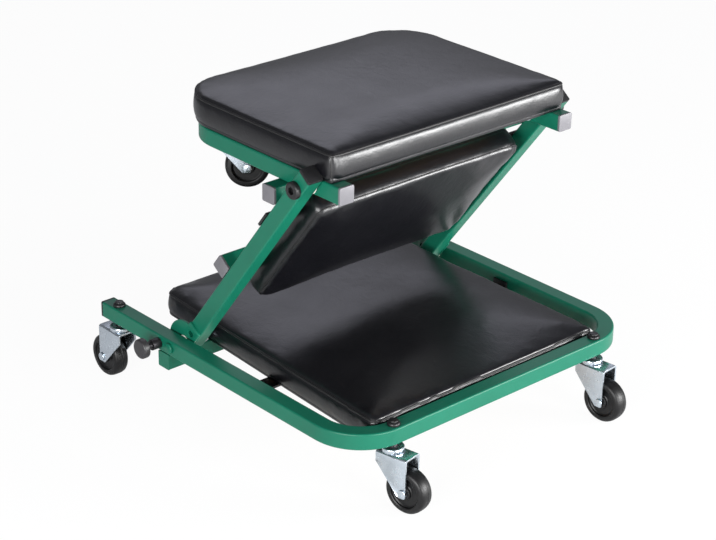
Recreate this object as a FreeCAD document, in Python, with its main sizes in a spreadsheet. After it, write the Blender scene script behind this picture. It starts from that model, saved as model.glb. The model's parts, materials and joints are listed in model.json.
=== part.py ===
import FreeCAD, Part

import math
import os
import re

import Sketcher
from FreeCAD import Placement, Rotation, Vector

# A folding creeper seat in millimetres, +Z up, the closed end of its base frame towards +X.
# The base, the middle and the seat each have a frame of their own: the base's stands at the top
# of its closed end, the middle's at the lower pivot with +X along the arms, the seat's at the
# upper pivot. The origin is on the floor, half way between the front and the rear casters' reach.

SIZES = (
    # square tube of the three frames
    ("tube_width", 20, "side of the square steel tube"),
    ("tube_wall", 1.5, "wall of the tube"),
    ("tube_edge", 2, "outer edge radius of the tube"),
    ("plug_flange", 3, "thickness of a tube plug's flange"),
    ("plug_length", 14, "length of a plug inside its tube"),
    # clearances
    ("fit_gap", 0.3, "gap between neighbours that only rest or slide past"),
    ("running_gap", 0.05, "radial gap of a shaft in its hole"),
    ("side_gap", 2, "gap between two arms that turn beside each other"),
    # base frame
    ("frame_width", 450, "outside width of the base frame"),
    ("frame_length", 457, "length of the base frame"),
    ("base_bend", 65, "outer bend radius at the closed end"),
    ("pivot_setback", 324, "closed end to the lower pivot"),
    ("cross_offset", 12, "lower pivot to the middle of the cross tube behind it"),
    ("slot_gap", 0.4, "gap round the lock plates in the cross tube's slots"),
    ("strap_setback", 205, "closed end to the middle of the base strap"),
    ("strap_width", 22, "width of the flat straps"),
    ("strap_thickness", 3, "thickness of the flat straps"),
    ("strap_lift", 15, "height of the base strap's turned-up ends"),
    # middle arms
    ("arm_span", 323, "lower pivot to upper pivot"),
    ("arm_top", 22, "upper pivot to the open top end of the arm"),
    ("arm_end_round", 9.5, "radius of the arm's closed lower end"),
    ("lean_angle", 52.7, "lean of the arms above the floor, in degrees"),
    ("plate_thickness", 3, "thickness of the lock plates"),
    ("plate_radius", 28.2, "lock plate's radius round the lower pivot"),
    ("plate_reach", 32, "lock plate's length along the arm"),
    ("lock_radius", 20, "lower pivot to the lock holes"),
    ("middle_tube_start", 127, "lower pivot to the cross tube on the arms"),
    ("middle_strap_drop", 75, "upper pivot down to the strap's middle"),
    # pivots
    ("bolt_radius", 4, "pivot bolts"),
    ("head_radius", 6.5, "low head of the lower bolts"),
    ("head_height", 3, "height of that head"),
    ("cap_head_radius", 10, "round head of the upper bolts"),
    ("cap_head_height", 6, "height of that head"),
    ("cap_head_edge", 2, "edge radius of that head"),
    ("nut_across", 13, "across flats of the lock nuts"),
    ("nut_height", 7.7, "height of the lock nuts"),
    ("washer_radius", 10, "nylon washers between the arms"),
    # lock pins
    ("pin_radius", 4, "lock pins"),
    ("pin_recess", 0.5, "drawn pin's tip behind the arm's inner face"),
    ("housing_radius", 6.5, "guide sleeve of a lock pin"),
    ("housing_length", 12, "length of the sleeve outside the arm"),
    ("knob_radius", 12, "pull knob"),
    ("knob_height", 8, "thickness of the knob"),
    ("knob_edge", 2, "edge radius of the knob"),
    ("knob_gap", 9, "sleeve to knob with the pin drawn"),
    # seat frame
    ("seat_front", 43.5, "upper pivot to the open front ends"),
    ("seat_length", 277, "length of the seat frame"),
    ("seat_bend", 60, "outer bend radius at the seat's closed end"),
    ("stop_overhang", 18, "stop tube's end beyond the seat arm"),
    # pads and their boards
    ("board_thickness", 6, "plywood board under each pad"),
    ("board_inset", 6, "board's edge inside the edge of the pad that wraps it"),
    ("pad_corner", 6, "sewn corner of a pad"),
    ("pad_crown", 6, "rise of a pad's middle over its edge"),
    ("pad_tuck", 4, "how far a pad's foot is drawn in"),
    ("pad_waist", 1.2, "how far the side is drawn in under the piping"),
    ("pad_row_gap", 3, "gap between neighbouring pads when the creeper lies flat"),
    ("base_pad_gap", 26, "closed end to the base pad"),
    ("base_pad_drop", 28, "tube top to the base board's front lower edge"),
    ("base_pad_front_side", 31, "base arm to the pad's front corner"),
    ("base_pad_rear_side", 44, "base arm to the pad's rear corner"),
    ("base_pad_thick", 29, "base pad's edge height"),
    ("base_pad_round", 14, "rear corner radius of the base pad"),
    ("middle_pad_start", 97, "lower pivot to the middle pad"),
    ("middle_pad_thick", 30, "middle pad's edge height"),
    ("middle_pad_round", 12, "corner radius of the middle pad"),
    ("seat_pad_setback", 10, "open front ends to the seat pad's front"),
    ("seat_pad_overhang", 4, "seat pad's rear edge behind the frame"),
    ("seat_pad_side_in", 0.5, "seat pad's side inside the frame's outer face"),
    ("seat_pad_thick", 27, "seat pad's edge height above its board"),
    ("seat_pad_round", 60, "rear corner radius of the seat pad"),
    # screws that hold the boards
    ("screw_radius", 2.5, "pad screws"),
    ("screw_gap", 0.4, "radial gap of a screw in its hole"),
    ("screw_head_radius", 5, "pan head"),
    ("screw_head_height", 2.5, "pan head"),
    ("screw_inset", 56, "middle pad's side to the pad screws"),
    ("seat_screw_front", 10, "upper pivot to the seat's front screws"),
    ("seat_screw_rear", 150, "upper pivot to the seat's rear screws"),
    # casters
    ("caster_height", 80, "floor to the underside of the tube"),
    ("caster_trail", 23, "swivel axis to wheel axle"),
    ("wheel_radius", 26.5, "caster wheel"),
    ("wheel_width", 19, "tread of the wheel"),
    ("wheel_round", 4, "edge radius of the tread"),
    ("rim_radius", 19, "where the tread meets the web"),
    ("web_recess", 3, "web's face behind the tread's face"),
    ("hub_radius", 8, "wheel hub"),
    ("axle_radius", 3, "rivet axle"),
    ("axle_head_radius", 5, "rivet head"),
    ("axle_head_height", 1.5, "rivet head"),
    ("fork_sheet", 2.2, "thickness of the fork's sheet"),
    ("fork_crown_drop", 11, "tube's underside to the top of the fork"),
    ("fork_back", 14, "swivel axis to the fork's back edge"),
    ("fork_front", 4, "axle to the fork's front edge"),
    ("fork_foot", 6, "axle to the leg's lower end"),
    ("fork_shoulder", 13, "depth of the fork's back edge"),
    ("fork_round", 3, "bend radius of the sheet"),
    ("wheel_side_gap", 1, "tread to the fork's leg"),
    ("stem_radius", 5, "threaded stem"),
    ("stem_flange_radius", 8, "riveted foot of the stem"),
    ("stem_flange_height", 2.2, "riveted foot of the stem"),
    ("race_radius", 13, "bearing cup above the fork"),
    ("race_height", 5.5, "bearing cup above the fork"),
    ("race_edge", 2, "edge radius of the cup"),
    ("dome_radius", 7.5, "dome nut on the stem"),
    ("dome_height", 8, "dome nut on the stem"),
    ("dome_edge", 5, "edge radius of the dome nut"),
    ("dome_cover", 2, "dome nut's wall over the stem's end"),
    ("jam_nut_height", 5, "low nut under the seat pad, in a notch of the board"),
    ("jam_nut_room", 1.5, "radial room round that nut in the board"),
    ("rear_stem_in", 21, "open ends of the base arms to the rear stems"),
    ("seat_stem_in", 5, "end of the seat frame's bend to its stems"),
    # headings that the free casters stand at, in degrees from +X
    ("front_left_angle", 10, "front left caster"),
    ("front_right_angle", 5, "front right caster"),
    ("rear_left_angle", 180, "rear left caster"),
    ("rear_right_angle", 180, "rear right caster"),
    ("seat_left_angle", 50, "seat's left caster"),
    ("seat_right_angle", 20, "seat's right caster"),
)

# What follows from the sizes, in the frame of the piece that carries it.
PLACES = (
    ("arm_side", "frame_width / 2 - tube_width / 2", "base arm's middle"),
    ("arm_inner", "frame_width / 2 - tube_width", "base arm's inner face"),
    ("plate_outer", "arm_inner - side_gap", "lock plate's outer face"),
    ("middle_outer", "plate_outer - plate_thickness", "middle arm's outer face"),
    ("middle_side", "middle_outer - tube_width / 2", "middle arm's middle"),
    ("middle_inner", "middle_outer - tube_width", "middle arm's inner face"),
    ("seat_outer", "middle_inner - side_gap", "seat arm's outer face"),
    ("seat_side", "seat_outer - tube_width / 2", "seat arm's middle"),
    ("seat_inner", "seat_outer - tube_width", "seat arm's inner face"),
    ("half_tube", "tube_width / 2", "tube's middle under its top"),
    ("front_stem_side", "frame_width / 2 - base_bend", "front stems, where the bends end"),
    ("seat_stem_side", "seat_outer - seat_bend - seat_stem_in", "seat stems from the middle"),
    ("rear_stem_setback", "frame_length - rear_stem_in", "closed end to the rear stems"),
    ("cross_x", "-(pivot_setback + cross_offset)", "cross tube's middle"),
    ("cross_z", "-(tube_width + fit_gap + half_tube)", "cross tube's middle"),
    ("middle_tube_x", "middle_tube_start + half_tube", "cross tube on the arms"),
    ("middle_tube_z", "tube_width + fit_gap", "cross tube on the arms"),
    ("strap_x", "arm_span - middle_strap_drop", "strap on the arms"),
    ("middle_pad_half", "seat_inner - side_gap", "half width of the middle pad"),
    ("screw_side", "middle_pad_half - screw_inset", "pad screws from the middle"),
    ("seat_pad_half", "seat_outer - seat_pad_side_in", "half width of the seat pad"),
    ("seat_pad_front", "seat_front - seat_pad_setback", "upper pivot to the seat pad's front"),
    ("middle_pad_end", "arm_span - seat_pad_front - pad_row_gap", "middle pad's upper edge"),
    ("base_pad_front_half", "arm_inner - base_pad_front_side", "half width at the front"),
    ("base_pad_rear_half", "arm_inner - base_pad_rear_side", "half width at the rear"),
    ("base_pad_length", "pivot_setback + middle_pad_start - pad_row_gap - base_pad_gap", "base pad"),
    ("stop_z", "-(tube_width + fit_gap)", "stop tube's middle under the seat"),
    ("stop_x", "-(half_tube + fit_gap + (half_tube - stop_z) * cos(lean_angle * 1 deg))"
     " / sin(lean_angle * 1 deg) - half_tube", "stop tube rests on the arms' backs"),
    ("stop_half", "seat_outer + stop_overhang", "half length of the stop tube"),
    ("seat_rear", "seat_front - seat_length", "outer face of the seat's closed end"),
    ("seat_pad_rear", "seat_rear - seat_pad_overhang", "seat pad's rear edge"),
    ("pad_slope_run", "pivot_setback + cross_offset - base_pad_gap", "base pad to its cross tube"),
    ("pad_slope_rise", "base_pad_drop - tube_width", "base pad to its cross tube"),
    ("axle_drop", "caster_height - wheel_radius", "tube's underside to the axle"),
    ("leg_inner", "wheel_width / 2 + wheel_side_gap", "inner face of the fork's leg"),
    ("leg_outer", "leg_inner + fork_sheet", "outer face of the fork's leg"),
    ("front_reach", "caster_trail + wheel_radius - half_tube", "front wheels past the closed end"),
    ("rear_reach", "rear_stem_setback + caster_trail + wheel_radius", "rear wheels behind it"),
    ("front_x", "(rear_reach - front_reach) / 2", "closed end from the origin"),
    ("base_top", "caster_height + tube_width", "top of the base tube"),
    ("pivot_x", "front_x - pivot_setback", "lower pivot"),
    ("pivot_z", "base_top - half_tube", "lower pivot"),
    ("seat_x", "pivot_x + arm_span * cos(lean_angle * 1 deg)", "upper pivot"),
    ("seat_z", "pivot_z + arm_span * sin(lean_angle * 1 deg)", "upper pivot"),
)

# Heights of a pad's drawn-in side, as (share of the edge height, share of the inset).
TUCK_SHARES = ((0, 1), (0.14, 0.35), (0.32, 0), (0.6, 0))
# A pad's crown, as (share of the outline, share of the rise).
CROWN_SHARES = ((0.965, 0.3), (0.9, 0.58), (0.78, 0.82), (0.58, 0.95), (0.3, 1))

doc = FreeCAD.newDocument("creeper_seat")
sheet = doc.addObject("Spreadsheet::Sheet", "Sizes")
for row, (alias, number, words) in enumerate(SIZES, 1):
    sheet.set("A%d" % row, alias)
    sheet.set("B%d" % row, str(number))
    sheet.set("C%d" % row, words)
    sheet.setAlias("B%d" % row, alias)
doc.recompute()

WORDS = {alias: "Sizes." + alias for alias, number, words in SIZES}
places = doc.addObject("App::VarSet", "Places")


def linked(text):
    """A sum with each size's name turned into its cell."""
    return re.sub(r"[a-z]+_\w+", lambda word: WORDS.get(word.group(), word.group()), text)


for alias, sum_text, words in PLACES:
    places.addProperty("App::PropertyFloat", alias, "Places", words)
    places.setExpression(alias, linked(sum_text))
    WORDS[alias] = "Places." + alias
doc.recompute()

NODES = []


def value(text):
    found = places.evalExpression(linked(text))
    return float(getattr(found, "Value", found))


def bind(made, **links):
    for path, text in links.items():
        made.setExpression(path, linked(text))


# Frames: where a group of pieces stands and which way it is turned.
BASE = ("front_x", "0", "base_top", (0, 0, 1), "0")
MIDDLE = ("pivot_x", "0", "pivot_z", (0, -1, 0), "lean_angle")
SEAT = ("seat_x", "0", "seat_z", (0, 0, 1), "0")
BASE_PAD = ("front_x - base_pad_gap", "0", "base_top - base_pad_drop", (0, 1, 0),
            "atan((pad_slope_rise) / (pad_slope_run)) / 1 deg")


def stand(made, frame):
    """Puts a finished node in its frame."""
    x, y, z, axis, angle = frame
    made.Placement = Placement(Vector(0, 0, 0), Rotation(Vector(*axis), 45))
    for path, text in (("Base.x", x), ("Base.y", y), ("Base.z", z)):
        made.setExpression("Placement." + path, linked(text))
    made.setExpression("Placement.Rotation.Angle", linked("(%s) * 1 deg" % angle))


def new_body(name, frame):
    body = doc.addObject("PartDesign::Body", name)
    body.Label = name
    body.AllowCompound = True
    stand(body, frame)
    NODES.append(body)
    return body


def plane_of(body, role):
    return [plane for plane in body.Origin.OriginFeatures if plane.Role == role][0]


def sketch_on(body, role, shift):
    """A sketch on one of the body's planes, moved along +X, +Y or +Z by shift."""
    made = body.newObject("Sketcher::SketchObject", body.Name + "_sketch")
    made.AttachmentSupport = [(plane_of(body, role), "")]
    made.MapMode = "FlatFace"
    way = "-" if role == "XZ_Plane" else ""
    made.setExpression("AttachmentOffset.Base.z", linked("%s(%s)" % (way, shift)))
    return made


def pin_point(sketch, edge, end, point):
    for kind, text in zip(("DistanceX", "DistanceY"), point):
        count = sketch.addConstraint(Sketcher.Constraint(kind, -1, 1, edge, end, value(text)))
        sketch.setExpression("Constraints[%d]" % count, linked(text))


def stepped(corner, way):
    """The end of a corner's arc on the run that leaves it along way."""
    x, y, turn = corner
    if abs(way.x) > abs(way.y):
        x = "%s %s (%s)" % (x, "+" if way.x > 0 else "-", turn)
    else:
        y = "%s %s (%s)" % (y, "+" if way.y > 0 else "-", turn)
    return x, y


def spot(point):
    return Vector(value(point[0]), value(point[1]), 0)


def outline(sketch, corners, closed=True):
    """Lines through corners (x, y, radius), with an arc wherever the radius isn't "0"."""
    total = len(corners)
    joints = []
    for at, corner in enumerate(corners):
        if corner[2] == "0":
            joints.append([corner[:2]])
            continue
        here = spot(corner)
        back = spot(corners[at - 1]) - here
        ahead = spot(corners[(at + 1) % total]) - here
        joints.append([stepped(corner, back), stepped(corner, ahead)])
    lines = []
    for at in range(total if closed else total - 1):
        start = joints[at][-1]
        end = joints[(at + 1) % total][0]
        line = sketch.addGeometry(Part.LineSegment(spot(start), spot(end)), False)
        pin_point(sketch, line, 1, start)
        pin_point(sketch, line, 2, end)
        lines.append(line)
    for at, ends in enumerate(joints):
        if len(ends) == 1:
            continue
        here = spot(corners[at])
        first, last = spot(ends[0]), spot(ends[1])
        centre = first + last - here
        middle = centre + (here - centre).normalize() * (first - centre).Length
        leftward = (middle - first).cross(last - first).z > 0
        near = 1 if leftward else 2
        ordered = (first, middle, last) if leftward else (last, middle, first)
        arc = sketch.addGeometry(Part.Arc(*ordered), False)
        sketch.addConstraint(Sketcher.Constraint("Coincident", arc, near, lines[at - 1], 2))
        sketch.addConstraint(Sketcher.Constraint("Coincident", arc, 3 - near, lines[at], 1))
        radius = sketch.addConstraint(Sketcher.Constraint("Radius", arc, value(corners[at][2])))
        sketch.setExpression("Constraints[%d]" % radius, linked(corners[at][2]))


def circles(sketch, centres, radius):
    for centre in centres:
        ring = sketch.addGeometry(Part.Circle(spot(centre), Vector(0, 0, 1), value(radius)), False)
        pin_point(sketch, ring, 3, centre)
        count = sketch.addConstraint(Sketcher.Constraint("Radius", ring, value(radius)))
        sketch.setExpression("Constraints[%d]" % count, linked(radius))


def square(x, y, half, turn="0"):
    """Corners of a square, x and y its middle."""
    return [("%s - (%s)" % (x, half), "%s - (%s)" % (y, half), turn),
            ("%s + (%s)" % (x, half), "%s - (%s)" % (y, half), turn),
            ("%s + (%s)" % (x, half), "%s + (%s)" % (y, half), turn),
            ("%s - (%s)" % (x, half), "%s + (%s)" % (y, half), turn)]


def oblong(low_x, high_x, low_y, high_y, turn="0"):
    return [(low_x, low_y, turn), (high_x, low_y, turn), (high_x, high_y, turn),
            (low_x, high_y, turn)]


def padded(body, role, low, high, corners=(), rings=(), radius=None, inner=()):
    """A pad from low to high along the plane's own axis."""
    sketch = sketch_on(body, role, low)
    if corners:
        outline(sketch, corners)
    if inner:
        outline(sketch, inner)
    if rings:
        circles(sketch, rings, radius)
    doc.recompute()
    pad = body.newObject("PartDesign::Pad", body.Name + "_pad")
    pad.Profile = sketch
    pad.Reversed = role == "XZ_Plane"
    bind(pad, Length="(%s) - (%s)" % (high, low))
    doc.recompute()
    return pad


def cut_out(body, role, low, high, corners=(), rings=(), radius=None):
    """A pocket from low to high along the plane's own axis, which has to take something away."""
    before = body.Shape.Volume
    sketch = sketch_on(body, role, low)
    if corners:
        outline(sketch, corners)
    if rings:
        circles(sketch, rings, radius)
    doc.recompute()
    pocket = body.newObject("PartDesign::Pocket", body.Name + "_pocket")
    pocket.Profile = sketch
    pocket.Reversed = role != "XZ_Plane"
    bind(pocket, Length="(%s) - (%s)" % (high, low))
    doc.recompute()
    if not body.Shape.Volume < before:
        raise ValueError("the cut in %s takes nothing away" % body.Name)
    return pocket


def softened(body, radius, wanted):
    """Fillets the edges whose middle point and direction wanted accepts."""
    tip = body.Tip
    inner = tip.Shape
    names = []
    for count, edge in enumerate(inner.Edges, 1):
        middle = edge.valueAt((edge.FirstParameter + edge.LastParameter) / 2)
        ends = edge.Vertexes[-1].Point - edge.Vertexes[0].Point
        if wanted(middle, ends, edge):
            names.append("Edge%d" % count)
    fillet = body.newObject("PartDesign::Fillet", body.Name + "_edges")
    fillet.Base = (tip, names)
    bind(fillet, Radius=radius)
    doc.recompute()
    return fillet


def both_sides(body):
    """Mirrors all that the body holds to the other side."""
    made = [thing for thing in body.Group if thing.isDerivedFrom("PartDesign::FeatureAddSub")]
    mirror = body.newObject("PartDesign::Mirrored", body.Name + "_mirror")
    mirror.Originals = made
    mirror.MirrorPlane = (plane_of(body, "XZ_Plane"), [""])
    body.Tip = mirror
    doc.recompute()
    return mirror


def u_tube(name, frame, closed_x, open_x, side, level, bend):
    """A square tube bent into a U, from its open ends round the closed one."""
    body = new_body(name, frame)
    path = sketch_on(body, "XY_Plane", level)
    outline(path, [(open_x, "-(%s)" % side, "0"), (closed_x, "-(%s)" % side, bend),
                   (closed_x, side, bend), (open_x, side, "0")], closed=False)
    ring = sketch_on(body, "YZ_Plane", open_x)
    outline(ring, square("-(%s)" % side, level, "half_tube", "tube_edge"))
    outline(ring, square("-(%s)" % side, level, "half_tube - tube_wall"))
    doc.recompute()
    pipe = body.newObject("PartDesign::AdditivePipe", name + "_bent_tube")
    pipe.Profile = ring
    pipe.Spine = path
    doc.recompute()
    return body


def cross_piece(name, frame, x, z, half_length):
    """A straight square tube from side to side."""
    body = new_body(name, frame)
    padded(body, "XZ_Plane", "-(%s)" % half_length, half_length,
           corners=square(x, z, "half_tube", "tube_edge"),
           inner=square(x, z, "half_tube - tube_wall"))
    return body


def end_plugs(name, frame, role, face, way, x, y):
    """Plugs in the ends of a pair of tubes: face is the tube's end, way 1 or -1 outwards."""
    body = new_body(name, frame)
    reach = ("0", "plug_flange") if way > 0 else ("-plug_flange", "0")
    inside = ("-plug_length", "0") if way > 0 else ("0", "plug_length")
    padded(body, role, "%s + %s" % (face, reach[0]), "%s + %s" % (face, reach[1]),
           corners=square(x, y, "half_tube", "tube_edge"))
    padded(body, role, "%s + %s" % (face, inside[0]), "%s + %s" % (face, inside[1]),
           corners=square(x, y, "half_tube - tube_wall - running_gap"))
    both_sides(body)
    return body


def hexagon(x, y):
    """Corners of a lock nut."""
    points = []
    for step in range(6):
        reach = "nut_across / 2 / cos(30 deg)"
        points.append(("%s + %s * cos(%d deg)" % (x, reach, 60 * step),
                       "%s + %s * sin(%d deg)" % (y, reach, 60 * step), "0"))
    return points


def build_base():
    frame = u_tube("base_frame", BASE, "-half_tube", "-frame_length", "arm_side", "-half_tube",
                   "base_bend - half_tube")
    pin_x = "-(pivot_setback + lock_radius)"
    cut_out(frame, "XZ_Plane", "-frame_width", "frame_width",
            rings=[("-pivot_setback", "-half_tube")], radius="bolt_radius + running_gap")
    cut_out(frame, "XZ_Plane", "-frame_width", "0",
            rings=[(pin_x, "-half_tube")], radius="pin_radius + running_gap")
    stems = [("-half_tube", "-front_stem_side"), ("-half_tube", "front_stem_side"),
             ("-rear_stem_setback", "-arm_side"), ("-rear_stem_setback", "arm_side")]
    cut_out(frame, "XY_Plane", "-2 * tube_width", "tube_width", rings=stems,
            radius="stem_radius + running_gap")
    end_plugs("base_arm_plugs", BASE, "YZ_Plane", "-frame_length", -1, "-arm_side", "-half_tube")

    # The cross tube is slotted where the lock plates swing through it.
    cross = cross_piece("base_cross_tube", BASE, "cross_x", "cross_z", "frame_width / 2")
    for low, high in (("-frame_width / 2", "-frame_width / 2 + tube_wall"),
                      ("frame_width / 2 - tube_wall", "frame_width / 2")):
        padded(cross, "XZ_Plane", low, high, corners=square("cross_x", "cross_z", "half_tube - fit_gap"))
    for side in ("", "-"):
        middle = "%s(middle_outer + plate_thickness / 2)" % side
        cut_out(cross, "XZ_Plane", "%s - plate_thickness / 2 - slot_gap" % middle,
                "%s + plate_thickness / 2 + slot_gap" % middle,
                rings=[("-pivot_setback", "-half_tube")], radius="plate_radius + slot_gap")
    cut_out(cross, "XY_Plane", "cross_z - tube_width", "cross_z + tube_width",
            rings=[("cross_x", "-screw_side"), ("cross_x", "screw_side")],
            radius="screw_radius + screw_gap")

    # A flat strap under the pad, with its ends turned up against the arms.
    strap = new_body("base_pad_strap", BASE)
    under = "-base_pad_drop + pad_slope_rise / pad_slope_run * (strap_setback - base_pad_gap - strap_width)"
    outer = "arm_inner - fit_gap"
    top = "%s - fit_gap" % under
    foot = "%s - strap_thickness" % top
    lifted = "%s + strap_lift" % top
    padded(strap, "YZ_Plane", "-strap_setback - strap_width / 2", "-strap_setback + strap_width / 2",
           corners=[("-(%s)" % outer, foot, "0"), (outer, foot, "0"), (outer, lifted, "0"),
                    ("%s - strap_thickness" % outer, lifted, "0"),
                    ("%s - strap_thickness" % outer, top, "0"),
                    ("-(%s - strap_thickness)" % outer, top, "0"),
                    ("-(%s - strap_thickness)" % outer, lifted, "0"),
                    ("-(%s)" % outer, lifted, "0")])
    cut_out(strap, "XY_Plane", "%s - tube_width" % foot, "%s + tube_width" % foot,
            rings=[("-strap_setback", "-screw_side"), ("-strap_setback", "screw_side")],
            radius="screw_radius + screw_gap")

    board = new_body("base_pad_board", BASE_PAD)
    front = "base_pad_front_half - board_inset"
    rear = "base_pad_rear_half - board_inset"
    padded(board, "XY_Plane", "0", "board_thickness",
           corners=[("-board_inset", "-(%s)" % front, "0"), ("-board_inset", front, "0"),
                    ("-base_pad_length + board_inset", rear, "0"),
                    ("-base_pad_length + board_inset", "-(%s)" % rear, "0")])
    softened(board, "base_pad_round - board_inset", lambda middle, ends, edge:
             abs(ends.z) > ends.Length / 2 and middle.x < value("-base_pad_length / 2"))
    softened(board, "pad_corner / 3", lambda middle, ends, edge:
             abs(ends.z) > ends.Length / 2 and middle.x > value("-base_pad_length / 2"))
    holes = []
    for setback in ("strap_setback", "pivot_setback + cross_offset"):
        for side in ("", "-"):
            holes.append(("base_pad_gap - (%s)" % setback, side + "screw_side"))
    cut_out(board, "XY_Plane", "-board_thickness", "2 * board_thickness", rings=holes,
            radius="screw_radius + screw_gap")

    screws = new_body("base_pad_screws", BASE)
    for x, seat, lift in (("-strap_setback", foot, "0"),
                          ("cross_x", "cross_z - half_tube", "0")):
        spots = [(x, "-screw_side"), (x, "screw_side")]
        tip = "-base_pad_drop + pad_slope_rise / pad_slope_run * (-(%s) - base_pad_gap)" % x
        padded(screws, "XY_Plane", "%s - screw_head_height" % seat, seat, rings=spots,
               radius="screw_head_radius")
        padded(screws, "XY_Plane", seat, "%s + board_thickness - fit_gap" % tip, rings=spots,
               radius="screw_radius")

    stems_body = new_body("base_caster_stems", BASE)
    caster_stems(stems_body, stems, "-tube_width", "dome_height - dome_cover")
    races = new_body("base_caster_races", BASE)
    caster_races(races, stems, "-tube_width")
    nuts = new_body("base_caster_nuts", BASE)
    dome_nuts(nuts, stems, "0")

    bolts = new_body("lower_pivot_bolts", BASE)
    at = [("-pivot_setback", "-half_tube")]
    padded(bolts, "XZ_Plane", "-(frame_width / 2 + head_height)", "-frame_width / 2", rings=at,
           radius="head_radius")
    padded(bolts, "XZ_Plane", "-frame_width / 2", "-(middle_inner - fit_gap - nut_height)", rings=at,
           radius="bolt_radius")
    both_sides(bolts)
    nuts = new_body("lower_pivot_nuts", BASE)
    padded(nuts, "XZ_Plane", "-(middle_inner - fit_gap)", "-(middle_inner - fit_gap - nut_height)",
           corners=hexagon("-pivot_setback", "-half_tube"))
    cut_out(nuts, "XZ_Plane", "-middle_outer", "-seat_inner + tube_width", rings=at,
            radius="bolt_radius + running_gap")
    both_sides(nuts)

    housing = new_body("lock_pin_housing", BASE)
    padded(housing, "XZ_Plane", "-(frame_width / 2 + housing_length)", "-frame_width / 2",
           rings=[(pin_x, "-half_tube")], radius="housing_radius")
    cut_out(housing, "XZ_Plane", "-frame_width", "0", rings=[(pin_x, "-half_tube")],
            radius="pin_radius + running_gap")

    cushion("base_pad", BASE_PAD, 1, "0", "base_pad_thick",
            [("-base_pad_length", "base_pad_rear_half", "base_pad_round"),
             ("0", "base_pad_front_half", "pad_corner")])


def build_lock_pin():
    """The drawn lock pin and its pull knob, on the left side."""
    at = [("-(pivot_setback + lock_radius)", "-half_tube")]
    knob_in = "frame_width / 2 + housing_length + knob_gap"
    pin_end = "%s + knob_height / 2" % knob_in
    pin = new_body("lock_pin", BASE)
    padded(pin, "XZ_Plane", "-(%s)" % pin_end, "-(arm_inner - pin_recess)", rings=at,
           radius="pin_radius")
    knob = new_body("pull_knob", BASE)
    outside = "-(%s + knob_height)" % knob_in
    padded(knob, "XZ_Plane", outside, "-(%s)" % knob_in, rings=at, radius="knob_radius")
    softened(knob, "knob_edge", lambda middle, ends, edge:
             abs(middle.y - value(outside)) < value("fit_gap"))
    cut_out(knob, "XZ_Plane", "-(%s)" % pin_end, "-(%s)" % knob_in, rings=at,
            radius="pin_radius + running_gap")


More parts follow.
